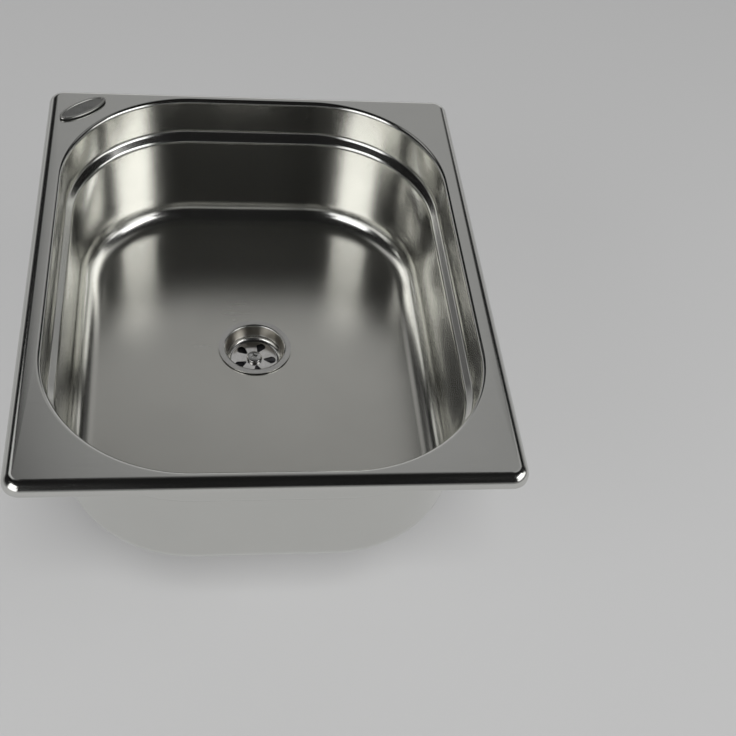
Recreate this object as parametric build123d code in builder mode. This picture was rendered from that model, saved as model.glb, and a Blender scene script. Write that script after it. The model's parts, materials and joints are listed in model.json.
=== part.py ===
import math
import os

from build123d import *

# Rim: a gastronorm half-size footprint that drops into a worktop.
# The worktop's surface is z = 0, and x = y = 0 is the middle of the rim.
rim_width = 265.0
rim_length = 325.0
rim_height = 7.0
rim_corner_radius = 10.0
rim_roll_radius = 6.0
side_flat = 4.7
end_flat = 0.7
sheet = 0.8

# Bowl, measured on its inner face
mouth_radius = 2.8
bowl_depth = 94.5
bowl_corner_radius = 79.8
ledge_depth = 25.2
ledge_width = 5.0
ledge_drop = 4.6
ledge_radius = 4.0
wall_draft_angle = 0.8
cove_radius = 14.5

# Short flat at each end of a pressed bend, where it runs on into a flat sheet
join = 0.25

# Oval badge on the rear left corner of the rim
badge_length = 35.0
badge_width = 12.5
badge_thickness = 1.8
badge_round = 0.8
badge_border = 1.6
badge_border_height = 0.35
badge_setback = 22.5
badge_tilt = 40.0

# Strainer cup, pressed from thin sheet and set back from the middle of the bowl
drain_setback = 17.0
cup_sheet = 0.6
cup_radius = 19.0
cup_depth = 10.3
cup_taper_angle = 7.0
cup_mouth_radius = 1.5
cup_foot_radius = 3.0
flange_radius = 23.4
slot_count = 5
slot_first_angle = 65.0
slot_root_place = 7.2
slot_root_radius = 1.0
slot_end_inset = 0.6
slot_end_radius = 3.0

# Gaskets above and below the base, round the hole for the drain
gasket_thickness = 0.5
gasket_inset = 0.4
hole_clearance = 0.6
body_gasket_thickness = 2.5
body_gasket_width = 7.0

# Strainer screw and the brass nut in the hub
screw_radius = 3.0
screw_head_radius = 5.0
screw_head_height = 2.4
screw_head_round = 1.2
cross_length = 5.4
cross_width = 1.3
cross_depth = 1.4
screw_hole_clearance = 0.3
thread_fit = 0.05
insert_across_flats = 10.0
insert_height = 5.0
insert_fit = 0.05
screw_tip = 1.0

# Moulded drain body with a spider, a hub and a G 1 1/4 threaded tail
body_flange_radius = 29.0
body_flange_thickness = 4.0
body_wall = 3.0
body_straight = 10.6
funnel_height = 5.5
hub_gap = 0.4
hub_radius = 7.5
hub_height = 11.0
spoke_count = 4
spoke_thickness = 2.4
spoke_height = 5.0
tail_thread_radius = 20.95
tail_wall = 3.5
tail_length = 16.0
tail_chamfer = 1.0

# Union nut, its seal and its slip ring
union_clearance = 0.25
union_wall = 4.0
union_web = 3.5
union_thread_length = 12.0
union_rib_count = 8
union_rib_width = 7.0
union_rib_height = 2.0
union_edge = 1.0
seal_thickness = 3.0
seal_inset = 0.6
slip_ring_thickness = 1.0

# Outlet elbow with barbs for a hose of 25 mm bore
collar_thickness = 3.0
elbow_bore_radius = 9.5
elbow_wall = 3.0
elbow_neck = 7.0
elbow_bend_radius = 20.0
spigot_length = 34.0
barb_count = 3
barb_pitch = 7.5
barb_rise = 0.7
barb_land = 1.2
barb_slope = 5.0
spigot_nose = 2.0
neck_clearance = 0.5

# Heights, from the rim down
rim_top = rim_height
base_top = rim_top - bowl_depth
flange_top = base_top + gasket_thickness + cup_sheet
body_top = base_top - sheet - body_gasket_thickness
cup_floor = base_top - cup_depth
hub_top = cup_floor - cup_sheet - hub_gap
hub_bottom = hub_top - hub_height
body_straight_end = body_top - body_straight
funnel_end = body_straight_end - funnel_height
tail_end = funnel_end - tail_length
collar_top = tail_end - seal_thickness
collar_bottom = collar_top - collar_thickness
web_top = collar_bottom - slip_ring_thickness
web_bottom = web_top - union_web
union_top = tail_end + union_thread_length
bend_start = web_bottom - elbow_neck
outlet_height = bend_start - elbow_bend_radius

# Widths and radii that follow from the sizes above
bowl_width = rim_width - 2 * (rim_roll_radius + side_flat + mouth_radius)
bowl_length = rim_length - 2 * (rim_roll_radius + end_flat + mouth_radius)
roll_span = rim_roll_radius + join
mouth_span = mouth_radius + join
lower_wall_radius = bowl_corner_radius - ledge_width
lower_wall_drop = bowl_depth - ledge_depth - ledge_drop
wall_foot_radius = lower_wall_radius - lower_wall_drop * math.tan(math.radians(wall_draft_angle))
base_edge_radius = wall_foot_radius - cove_radius - join
base_inset = bowl_corner_radius - base_edge_radius
cup_foot = cup_radius - (flange_top - cup_floor) * math.tan(math.radians(cup_taper_angle))
drain_hole_radius = cup_radius + cup_sheet + hole_clearance
body_outer_radius = drain_hole_radius + body_wall
tail_bore_radius = tail_thread_radius - tail_wall
union_bore_radius = tail_thread_radius + union_clearance
union_outer_radius = union_bore_radius + union_wall
elbow_radius = elbow_bore_radius + elbow_wall
web_hole_radius = elbow_radius + neck_clearance
collar_radius = tail_thread_radius - seal_inset
slot_end_place = cup_foot - cup_foot_radius - slot_end_inset - slot_end_radius
slot_run = slot_end_place - slot_root_place
slot_side_angle = math.degrees(math.atan2(slot_run, slot_end_radius - slot_root_radius))

drain_axis = Axis((0, drain_setback, 0), (0, 0, 1))
drain_section = Plane(origin=(0, drain_setback, 0), x_dir=(1, 0, 0), z_dir=(0, -1, 0))
bend_axis = Axis((0, drain_setback + elbow_bend_radius, bend_start), (1, 0, 0))
spigot_start = (0, drain_setback + elbow_bend_radius, outlet_height)
spigot_axis = Axis(spigot_start, (0, 1, 0))
spigot_end_on = Plane(origin=spigot_start, x_dir=(1, 0, 0), z_dir=(0, 1, 0))
spigot_section = Plane(origin=spigot_start, x_dir=(0, 1, 0), z_dir=(1, 0, 0))


def drain_level(height):
    return Plane(origin=(0, drain_setback, height))


def ring_around(width, length, radius, section_at):
    # A section carried round a rounded rectangle: four straight sides and four quarter turns
    side_x = width / 2 - radius
    side_y = length / 2 - radius
    corners = ((side_x, -side_y), (side_x, side_y), (-side_x, side_y), (-side_x, -side_y))
    for turn, (corner_x, corner_y) in enumerate(corners):
        outward = Vector(1, 0, 0).rotate(Axis.Z, 90 * turn)
        along = Vector(0, 1, 0).rotate(Axis.Z, 90 * turn)
        run = 2 * (side_x if turn % 2 else side_y)
        place = Plane(origin=(corner_x, corner_y, 0), x_dir=outward, z_dir=-along)
        section = section_at(place)
        extrude(section, amount=-run)
        revolve(section, axis=Axis((corner_x, corner_y, 0), (0, 0, 1)), revolution_arc=-90)


def wall_section(place):
    with BuildSketch(place) as section:
        with BuildLine():
            FilletPolyline(
                (bowl_corner_radius + mouth_span, rim_top),
                (bowl_corner_radius, rim_top),
                (bowl_corner_radius, rim_top - ledge_depth),
                (lower_wall_radius, rim_top - ledge_depth - ledge_drop),
                (wall_foot_radius, base_top),
                (base_edge_radius, base_top),
                radius=[mouth_radius, ledge_radius, ledge_radius, cove_radius],
            )
            offset(amount=sheet, side=Side.LEFT)
        make_face()
    return section.sketch


def roll_section(place):
    with BuildSketch(place) as section:
        with BuildLine():
            FilletPolyline(
                (rim_corner_radius - roll_span, rim_top),
                (rim_corner_radius, rim_top),
                (rim_corner_radius, 0),
                radius=rim_roll_radius,
            )
            offset(amount=sheet, side=Side.RIGHT)
        make_face()
    return section.sketch


def elbow_way(radius, mode):
    # A round way from the collar's top through the bend and out of the spigot
    with BuildSketch(drain_level(collar_top)) as entry:
        Circle(radius)
    extrude(entry.sketch, amount=bend_start - collar_top, mode=mode)
    with BuildSketch(drain_level(bend_start)) as turn:
        Circle(radius)
    revolve(turn.sketch, axis=bend_axis, revolution_arc=90, mode=mode)
    with BuildSketch(spigot_end_on) as outlet:
        Circle(radius)
    extrude(outlet.sketch, amount=spigot_length, mode=mode)


# Basin: one pressed sheet
with BuildPart() as basin:
    ring_around(bowl_width, bowl_length, bowl_corner_radius, wall_section)
    ring_around(rim_width, rim_length, rim_corner_radius, roll_section)
    with BuildSketch(Plane.XY.offset(rim_top)) as rim_flat:
        RectangleRounded(rim_width - 2 * roll_span, rim_length - 2 * roll_span, rim_corner_radius - roll_span)
        RectangleRounded(
            bowl_width + 2 * mouth_span,
            bowl_length + 2 * mouth_span,
            bowl_corner_radius + mouth_span,
            mode=Mode.SUBTRACT,
        )
    extrude(amount=-sheet)
    with BuildSketch(Plane.XY.offset(base_top)) as base_flat:
        RectangleRounded(bowl_width - 2 * base_inset, bowl_length - 2 * base_inset, base_edge_radius)
        with Locations((0, drain_setback)):
            Circle(drain_hole_radius, mode=Mode.SUBTRACT)
    extrude(amount=-sheet)

# Badge: a bare oval plate with a rounded edge and a raised border
with BuildPart() as badge:
    badge_plane = Plane(
        origin=(badge_setback - rim_width / 2, rim_length / 2 - badge_setback, rim_top)
    ).rotated((0, 0, badge_tilt))
    with BuildSketch(badge_plane) as badge_plate:
        Ellipse(badge_length / 2, badge_width / 2)
    extrude(amount=badge_thickness)
    fillet(badge.edges().sort_by(Axis.Z)[-1], radius=badge_round)
    with BuildSketch(badge_plane.offset(badge_thickness)) as badge_field:
        Ellipse(badge_length / 2 - badge_border, badge_width / 2 - badge_border)
    extrude(amount=-badge_border_height, mode=Mode.SUBTRACT)

# Strainer cup: a flange that lies on the base, a tapered cup and petal slots
with BuildPart() as drain_cup:
    with BuildSketch(drain_section) as cup_outline:
        with BuildLine():
            FilletPolyline(
                (flange_radius, flange_top),
                (cup_radius, flange_top),
                (cup_foot, cup_floor),
                (screw_radius + screw_hole_clearance, cup_floor),
                radius=[cup_mouth_radius, cup_foot_radius],
            )
            offset(amount=cup_sheet, side=Side.LEFT)
        make_face()
    revolve(axis=drain_axis)
    with BuildSketch(drain_level(cup_floor)) as slots:
        with PolarLocations(0, slot_count, start_angle=slot_first_angle):
            with Locations((slot_root_place, 0)):
                Circle(slot_root_radius)
            with Locations((slot_end_place, 0)):
                Circle(slot_end_radius)
            with Locations(((slot_root_place + slot_end_place) / 2, 0)):
                Trapezoid(2 * slot_end_radius, slot_run, slot_side_angle, rotation=90)
    extrude(amount=-cup_sheet, mode=Mode.SUBTRACT)

# Gasket between the cup's flange and the base
with BuildPart() as flange_gasket:
    with BuildSketch(drain_level(base_top)) as gasket_ring:
        Circle(flange_radius - gasket_inset)
        Circle(max(cup_radius + cup_mouth_radius, drain_hole_radius) + gasket_inset, mode=Mode.SUBTRACT)
    extrude(amount=gasket_thickness)

# Gasket between the base and the drain body
with BuildPart() as body_gasket:
    with BuildSketch(drain_level(body_top)) as body_gasket_ring:
        Circle(drain_hole_radius + body_gasket_width)
        Circle(drain_hole_radius, mode=Mode.SUBTRACT)
    extrude(amount=body_gasket_thickness)

# Drain body: seat flange, funnel and threaded tail, with a spider that holds the hub
with BuildPart() as drain_body:
    with BuildSketch(drain_section) as body_outline:
        with BuildLine():
            Polyline(
                (drain_hole_radius, body_top),
                (body_flange_radius, body_top),
                (body_flange_radius, body_top - body_flange_thickness),
                (body_outer_radius, body_top - body_flange_thickness),
                (body_outer_radius, body_straight_end),
                (tail_thread_radius, funnel_end),
                (tail_thread_radius, tail_end + tail_chamfer),
                (tail_thread_radius - tail_chamfer, tail_end),
                (tail_bore_radius, tail_end),
                (tail_bore_radius, funnel_end),
                (drain_hole_radius, body_straight_end),
                close=True,
            )
        make_face()
    revolve(axis=drain_axis)
    with BuildSketch(drain_level(hub_top)) as hub:
        Circle(hub_radius)
    extrude(amount=-hub_height)
    with BuildSketch(drain_level(hub_top)) as spokes:
        with PolarLocations((hub_radius + drain_hole_radius) / 2, spoke_count):
            Rectangle(drain_hole_radius - hub_radius + body_wall / 2, spoke_thickness)
    extrude(amount=-spoke_height)
    with BuildSketch(drain_level(hub_bottom)) as insert_pocket:
        RegularPolygon(insert_across_flats / 2 + insert_fit, 6, major_radius=False)
    extrude(amount=insert_height, mode=Mode.SUBTRACT)
    with BuildSketch(drain_level(hub_top)) as screw_way:
        Circle(screw_radius + screw_hole_clearance)
    extrude(amount=-hub_height, mode=Mode.SUBTRACT)

# Brass nut pressed into the hub from below
with BuildPart() as insert_nut:
    with BuildSketch(drain_level(hub_bottom)) as insert_outline:
        RegularPolygon(insert_across_flats / 2, 6, major_radius=False)
        Circle(screw_radius + thread_fit, mode=Mode.SUBTRACT)
    extrude(amount=insert_height)

# Strainer screw: a domed head with a cross recess
with BuildPart() as drain_screw:
    with BuildSketch(drain_level(cup_floor)) as screw_head:
        Circle(screw_head_radius)
    extrude(amount=screw_head_height)
    fillet(drain_screw.edges().sort_by(Axis.Z)[-1], radius=screw_head_round)
    with BuildSketch(drain_level(cup_floor)) as screw_shank:
        Circle(screw_radius)
    extrude(amount=hub_bottom - screw_tip - cup_floor)
    with BuildSketch(drain_level(cup_floor + screw_head_height)) as cross:
        Rectangle(cross_length, cross_width)
        Rectangle(cross_width, cross_length)
    extrude(amount=-cross_depth, mode=Mode.SUBTRACT)

# Washer between the threaded tail and the elbow's collar
with BuildPart() as tail_seal:
    with BuildSketch(drain_level(collar_top)) as seal_ring:
        Circle(collar_radius)
        Circle(tail_bore_radius, mode=Mode.SUBTRACT)
    extrude(amount=seal_thickness)

# Hard ring that lets the nut turn under the elbow's collar
with BuildPart() as slip_ring:
    with BuildSketch(drain_level(web_top)) as slip_outline:
        Circle(collar_radius)
        Circle(web_hole_radius, mode=Mode.SUBTRACT)
    extrude(amount=slip_ring_thickness)

# Union nut with chamfered ends and grip ribs
with BuildPart() as union_nut:
    with BuildSketch(drain_section) as nut_outline:
        with BuildLine():
            Polyline(
                (web_hole_radius, web_bottom),
                (union_outer_radius - union_edge, web_bottom),
                (union_outer_radius, web_bottom + union_edge),
                (union_outer_radius, union_top - union_edge),
                (union_outer_radius - union_edge, union_top),
                (union_bore_radius, union_top),
                (union_bore_radius, web_top),
                (web_hole_radius, web_top),
                close=True,
            )
        make_face()
    revolve(axis=drain_axis)
    with BuildSketch(drain_level(web_bottom + union_edge)) as ribs:
        with PolarLocations(union_outer_radius + (union_rib_height - union_wall / 2) / 2, union_rib_count):
            Rectangle(union_rib_height + union_wall / 2, union_rib_width)
    extrude(amount=union_top - web_bottom - 2 * union_edge)

# Outlet elbow: collar, neck, bend and a barbed spigot that points to the back
with BuildPart() as hose_tail:
    with BuildSketch(drain_level(collar_bottom)) as collar:
        Circle(collar_radius)
    extrude(amount=collar_thickness)
    elbow_way(elbow_radius, Mode.ADD)
    with BuildSketch(spigot_section) as barbs:
        for barb in range(barb_count):
            tip = spigot_length - spigot_nose - barb * barb_pitch
            with BuildLine():
                Polyline(
                    (tip, 0),
                    (tip, elbow_radius),
                    (tip - barb_slope, elbow_radius + barb_rise),
                    (tip - barb_slope - barb_land, elbow_radius + barb_rise),
                    (tip - barb_slope - barb_land, 0),
                    close=True,
                )
            make_face()
    revolve(axis=spigot_axis)
    elbow_way(elbow_bore_radius, Mode.SUBTRACT)

# Each piece is written under its own name
pieces = {
    "basin": basin,
    "badge": badge,
    "drain_cup": drain_cup,
    "flange_gasket": flange_gasket,
    "body_gasket": body_gasket,
    "drain_body": drain_body,
    "insert_nut": insert_nut,
    "drain_screw": drain_screw,
    "tail_seal": tail_seal,
    "slip_ring": slip_ring,
    "union_nut": union_nut,
    "hose_tail": hose_tail,
}
os.makedirs("parts", exist_ok=True)
for name, piece in pieces.items():
    piece.part.label = name
    export_step(piece.part, f"parts/{name}.step")
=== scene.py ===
import json
import math

import bpy
from mathutils import Matrix, Vector

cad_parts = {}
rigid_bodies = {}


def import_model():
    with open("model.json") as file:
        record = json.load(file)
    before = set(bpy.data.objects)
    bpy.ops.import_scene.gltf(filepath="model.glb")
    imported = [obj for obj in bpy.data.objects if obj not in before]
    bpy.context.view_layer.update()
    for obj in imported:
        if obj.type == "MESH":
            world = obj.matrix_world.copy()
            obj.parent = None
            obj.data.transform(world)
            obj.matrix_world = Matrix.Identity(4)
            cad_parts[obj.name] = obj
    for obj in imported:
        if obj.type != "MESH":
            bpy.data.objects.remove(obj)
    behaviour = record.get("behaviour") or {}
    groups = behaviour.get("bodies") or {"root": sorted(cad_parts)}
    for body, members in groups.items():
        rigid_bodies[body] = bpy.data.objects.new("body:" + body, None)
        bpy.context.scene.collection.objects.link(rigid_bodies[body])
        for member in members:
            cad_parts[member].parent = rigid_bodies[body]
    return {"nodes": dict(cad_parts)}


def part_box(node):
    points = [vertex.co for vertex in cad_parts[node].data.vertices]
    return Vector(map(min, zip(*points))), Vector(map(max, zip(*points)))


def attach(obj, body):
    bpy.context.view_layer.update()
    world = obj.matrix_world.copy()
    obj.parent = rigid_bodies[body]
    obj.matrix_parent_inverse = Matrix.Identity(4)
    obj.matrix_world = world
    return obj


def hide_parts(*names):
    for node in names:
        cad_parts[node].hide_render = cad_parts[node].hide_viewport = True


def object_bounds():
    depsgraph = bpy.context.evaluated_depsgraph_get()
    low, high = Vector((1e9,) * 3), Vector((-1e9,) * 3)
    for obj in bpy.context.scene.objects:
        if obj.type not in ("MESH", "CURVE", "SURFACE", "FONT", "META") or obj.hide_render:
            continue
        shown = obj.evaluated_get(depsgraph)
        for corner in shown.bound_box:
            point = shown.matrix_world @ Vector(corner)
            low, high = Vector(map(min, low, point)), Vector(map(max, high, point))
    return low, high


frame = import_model()
cadLow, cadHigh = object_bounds()
print("frame loaded:", len(frame["nodes"]), "nodes")

# places that come from the frame
panLow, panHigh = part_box("basin")
cupLow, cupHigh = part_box("drain_cup")
rimTop = panHigh.z
bowlDepth = 0.0945
baseTop = rimTop - bowlDepth
badgeLow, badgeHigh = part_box("badge")
drainPlace = ((cupLow.x + cupHigh.x) / 2, (cupLow.y + cupHigh.y) / 2, 0)

# how close counts as one place, as one point, as one point after a cut, and as straight up
samePlace, mergeGap, cutGap, levelGap = 0.00002, 0.000002, 0.000003, 0.0000005


def clearPicks():
    if bpy.context.mode != "OBJECT":
        bpy.ops.object.mode_set(mode="OBJECT")
    bpy.ops.object.select_all(action="DESELECT")


def namePiece(name):
    piece = bpy.context.object
    piece.name = name
    piece.data.name = name
    return piece


def pick(kind, test):
    # picks the verts, edges or faces whose corners all pass the test
    mesh = bpy.context.object.data
    bpy.ops.mesh.select_mode(type=kind)
    bpy.ops.mesh.select_all(action="DESELECT")
    bpy.ops.object.mode_set(mode="OBJECT")
    if kind == "VERT":
        for vert in mesh.vertices:
            vert.select = test(vert.co)
    else:
        for item in mesh.edges if kind == "EDGE" else mesh.polygons:
            item.select = all(test(mesh.vertices[i].co) for i in item.vertices)
    bpy.ops.object.mode_set(mode="EDIT")


def near(a, b):
    return abs(a - b) < samePlace


def drainRadius(co):
    return math.hypot(co.x - drainPlace[0], co.y - drainPlace[1])


def roundedPath(points, radii, steps):
    # a line through the points, its inner corners rounded by arcs
    path = [Vector(points[0])]
    for before, corner, after, radius in zip(points, points[1:], points[2:], radii):
        corner = Vector(corner)
        back = (Vector(before) - corner).normalized()
        ahead = (Vector(after) - corner).normalized()
        if radius == 0:
            path.append(corner)
            continue
        angle = back.angle(ahead)
        centre = corner + (back + ahead).normalized() * radius / math.sin(angle / 2)
        spoke = corner + back * radius / math.tan(angle / 2) - centre
        side = -1 if back.cross(ahead) > 0 else 1
        for step in range(steps + 1):
            turn = side * (math.pi - angle) * step / steps
            path.append(centre + Matrix.Rotation(turn, 2) @ spoke)
    path.append(Vector(points[-1]))
    kept = [path[0]]
    for point in path[1:]:
        if (point - kept[-1]).length > mergeGap:
            kept.append(point)
    return kept


def startRing(name, radius, height, count):
    clearPicks()
    bpy.ops.mesh.primitive_circle_add(vertices=count, radius=radius, fill_type="NOTHING", location=(0, 0, 0))
    piece = namePiece(name)
    bpy.ops.object.mode_set(mode="EDIT")
    bpy.ops.mesh.select_mode(type="EDGE")
    bpy.ops.mesh.select_all(action="SELECT")
    bpy.ops.transform.translate(value=(drainPlace[0], drainPlace[1], height))
    return piece


def drawRing(profile, centre, axis="Z"):
    # carries the picked ring through points of (radius, place along the axis)
    along = "XYZ".index(axis)
    for before, after in zip(profile, profile[1:]):
        move = [0, 0, 0]
        move[along] = after[1] - before[1]
        grow = [after[0] / before[0]] * 3
        grow[along] = 1
        pivot = list(centre)
        pivot[along] = after[1]
        bpy.ops.mesh.extrude_edges_move(TRANSFORM_OT_translate={"value": move})
        bpy.ops.transform.resize(value=grow, center_override=pivot)


def closeShell():
    bpy.ops.mesh.select_all(action="SELECT")
    bpy.ops.mesh.remove_doubles(threshold=mergeGap)
    bpy.ops.mesh.normals_make_consistent(inside=False)
    bpy.ops.object.mode_set(mode="OBJECT")


def useModifier(piece, kind, **values):
    modifier = piece.modifiers.new(kind.lower(), kind)
    for key, value in values.items():
        setattr(modifier, key, value)
    bpy.context.view_layer.objects.active = piece
    bpy.ops.object.modifier_apply(modifier=modifier.name)


def smoothPiece(piece, angle):
    clearPicks()
    piece.select_set(True)
    bpy.context.view_layer.objects.active = piece
    bpy.ops.object.shade_smooth_by_angle(angle=math.radians(angle))
    useModifier(piece, "WEIGHTED_NORMAL", keep_sharp=True, weight=60)
    piece.select_set(False)


def cutWith(piece, cutter, operation="DIFFERENCE"):
    clearPicks()
    useModifier(piece, "BOOLEAN", object=cutter, operation=operation, solver="EXACT")
    bpy.data.objects.remove(cutter)
    # slivers that the cut leaves are merged away
    bpy.ops.object.mode_set(mode="EDIT")
    bpy.ops.mesh.select_all(action="SELECT")
    bpy.ops.mesh.remove_doubles(threshold=cutGap)
    bpy.ops.object.mode_set(mode="OBJECT")


# basin: one pressed sheet

panShape = {
    "cornerSteps": 32,
    "rimCorner": 0.0100, "rimRoll": 0.0060, "sideFlat": 0.0047, "endFlat": 0.0007,
    "mouthRound": 0.0028, "bowlCorner": 0.0798,
    "ledgeDepth": 0.0252, "ledgeWidth": 0.0050, "ledgeDrop": 0.0046, "ledgeRound": 0.0040,
    "wallDraft": 0.8, "coveRound": 0.0145,
    "drainHole": 0.0202, "sheet": 0.0008,
}


def startFace(size, corner, height, steps):
    # a flat face with rounded corners, picked, in edit mode
    bpy.ops.mesh.primitive_plane_add(size=1, location=(0, 0, 0))
    if bpy.context.mode == "OBJECT":
        bpy.ops.object.mode_set(mode="EDIT")
    bpy.ops.transform.resize(value=(size[0], size[1], 1), center_override=(0, 0, 0))
    bpy.ops.transform.translate(value=(0, 0, height))
    bpy.ops.mesh.bevel(offset=corner, offset_type="OFFSET", segments=steps, profile=0.5,
                       affect="VERTICES", clamp_overlap=False)


def pressFace(path):
    # the picked face is drawn up or down and inwards along the path
    for before, after in zip(path, path[1:]):
        inward, rise = before[0] - after[0], after[1] - before[1]
        if abs(inward) < levelGap:
            bpy.ops.mesh.extrude_region_move(TRANSFORM_OT_translate={"value": (0, 0, rise)})
        else:
            bpy.ops.mesh.inset(thickness=inward, depth=rise, use_even_offset=True)


def makeBasin():
    s = panShape
    rim = panHigh - panLow
    clearPicks()
    # rim: the lip's outline, drawn up and rolled over
    startFace((rim.x, rim.y), s["rimCorner"], 0, s["cornerSteps"])
    piece = namePiece("sinkBasin")
    pressFace(roundedPath([(0, 0), (0, rimTop), (-s["rimRoll"], rimTop)], [s["rimRoll"]], 8))
    bpy.ops.mesh.delete(type="ONLY_FACE")
    pick("FACE", lambda co: near(co.z, 0))
    bpy.ops.mesh.delete(type="ONLY_FACE")
    # bowl: mouth, ledge, walls and cove
    mouth = s["bowlCorner"] + s["mouthRound"]
    lower = s["bowlCorner"] - s["ledgeWidth"]
    ledgeFoot = rimTop - s["ledgeDepth"] - s["ledgeDrop"]
    foot = lower - (ledgeFoot - baseTop) * math.tan(math.radians(s["wallDraft"]))
    wall = roundedPath(
        [(mouth, rimTop), (s["bowlCorner"], rimTop), (s["bowlCorner"], rimTop - s["ledgeDepth"]),
         (lower, ledgeFoot), (foot, baseTop), (foot - 2 * s["coveRound"], baseTop)],
        [s["mouthRound"], s["ledgeRound"], s["ledgeRound"], s["coveRound"]], 10)[:-1]
    opening = (rim.x - 2 * (s["rimRoll"] + s["sideFlat"]), rim.y - 2 * (s["rimRoll"] + s["endFlat"]))
    startFace(opening, mouth, rimTop, s["cornerSteps"])
    pressFace(wall)
    bpy.ops.mesh.delete(type="ONLY_FACE")
    # flat of the rim
    pick("EDGE", lambda co: near(co.z, rimTop))
    bpy.ops.mesh.bridge_edge_loops()
    # base, with the hole for the drain
    bpy.ops.mesh.primitive_circle_add(vertices=4 * (s["cornerSteps"] + 1), radius=s["drainHole"],
                                      fill_type="NOTHING", location=(drainPlace[0], drainPlace[1], baseTop))
    pick("EDGE", lambda co: near(co.z, baseTop))
    bpy.ops.mesh.fill(use_beauty=True)
    closeShell()
    useModifier(piece, "SOLIDIFY", thickness=s["sheet"], offset=-1, use_even_offset=True)
    smoothPiece(piece, 32)
    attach(piece, "sink")
    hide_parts("basin")
    print("basin:", len(piece.data.polygons), "faces")
    return piece


# strainer cup with its petal slots

cupShape = {
    "ringSteps": 128, "flange": 0.0234, "mouth": 0.0190, "foot": 0.01760, "screwHole": 0.0033,
    "mouthRound": 0.0015, "footRound": 0.0036, "sheet": 0.0006,
    "slotCount": 5, "slotFirst": 65.0, "slotRoot": 0.0072, "slotRootRound": 0.0010,
    "slotEnd": 0.01100, "slotEndRound": 0.0030, "slotRound": 0.00045, "slotCut": 0.004,
    "slotClear": 0.001, "footClear": 0.0002, "rimEdge": 0.00022, "plateReach": 0.0004,
}


def slotCutter(angle):
    s = cupShape
    floor = cupLow.z + s["sheet"]
    clearPicks()
    bpy.ops.mesh.primitive_cylinder_add(vertices=32, radius=s["slotEndRound"], depth=s["slotCut"],
                                        location=(0, 0, 0))
    cutter = namePiece("slotCutter")
    bpy.ops.object.mode_set(mode="EDIT")
    bpy.ops.transform.translate(value=(s["slotEnd"], 0, floor - s["sheet"] / 2))
    # the inner half is drawn to the root and narrowed
    pick("VERT", lambda co: co.x < s["slotEnd"] - samePlace / 2)
    share = s["slotRootRound"] / s["slotEndRound"]
    bpy.ops.transform.resize(value=(share, share, 1), center_override=(s["slotEnd"], 0, floor))
    bpy.ops.transform.translate(value=(s["slotRoot"] - s["slotEnd"], 0, 0))
    bpy.ops.object.mode_set(mode="OBJECT")
    cutter.rotation_euler.z = math.radians(angle)
    cutter.location = drainPlace
    bpy.ops.object.transform_apply(location=True, rotation=True, scale=True)
    return cutter


def makeCup():
    s = cupShape
    floor = cupLow.z + s["sheet"]
    outline = roundedPath(
        [(s["flange"], cupHigh.z), (s["mouth"], cupHigh.z), (s["foot"], floor), (s["screwHole"], floor)],
        [s["mouthRound"], s["footRound"]], 8)
    piece = startRing("strainerCup", outline[0][0], cupHigh.z, s["ringSteps"])
    drawRing(outline, drainPlace)
    closeShell()
    if piece.data.polygons[0].normal.z < 0:
        bpy.ops.object.mode_set(mode="EDIT")
        bpy.ops.mesh.select_all(action="SELECT")
        bpy.ops.mesh.flip_normals()
        bpy.ops.object.mode_set(mode="OBJECT")
    useModifier(piece, "SOLIDIFY", thickness=s["sheet"], offset=-1, use_even_offset=True)
    for slot in range(s["slotCount"]):
        cutWith(piece, slotCutter(s["slotFirst"] + slot * 360 / s["slotCount"]))
    # the slots are drawn in from above, so their upper edges are well rounded
    bpy.ops.object.mode_set(mode="EDIT")
    inner = s["screwHole"] + s["slotClear"]
    outer = s["foot"] - s["footRound"] - s["footClear"]
    pick("EDGE", lambda co: near(co.z, floor) and inner < drainRadius(co) < outer)
    bpy.ops.mesh.bevel(offset=s["slotRound"], offset_type="OFFSET", segments=4, affect="EDGES",
                       clamp_overlap=True)
    bpy.ops.object.mode_set(mode="OBJECT")
    useModifier(piece, "BEVEL", width=s["rimEdge"], segments=3, limit_method="ANGLE",
                angle_limit=math.radians(50), use_clamp_overlap=True)
    smoothPiece(piece, 35)
    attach(piece, "sink")
    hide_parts("drain_cup")
    print("strainer cup:", len(piece.data.polygons), "faces")
    return piece


# strainer screw

screwShape = {
    "ringSteps": 64, "head": 0.0050, "headHeight": 0.0024, "headRound": 0.0012, "crown": 0.0003,
    "shank": 0.0030, "tipChamfer": 0.0006,
    "crownFlat": 0.0022, "crownHole": 0.0004, "crownRound": 0.002, "seatRound": 0.00015, "edge": 0.00012,
    "crossLength": 0.0054, "crossWidth": 0.0013, "crossDepth": 0.0014,
    "crossTaper": (0.62, 0.7, 1), "crossTurn": 20,
}


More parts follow.
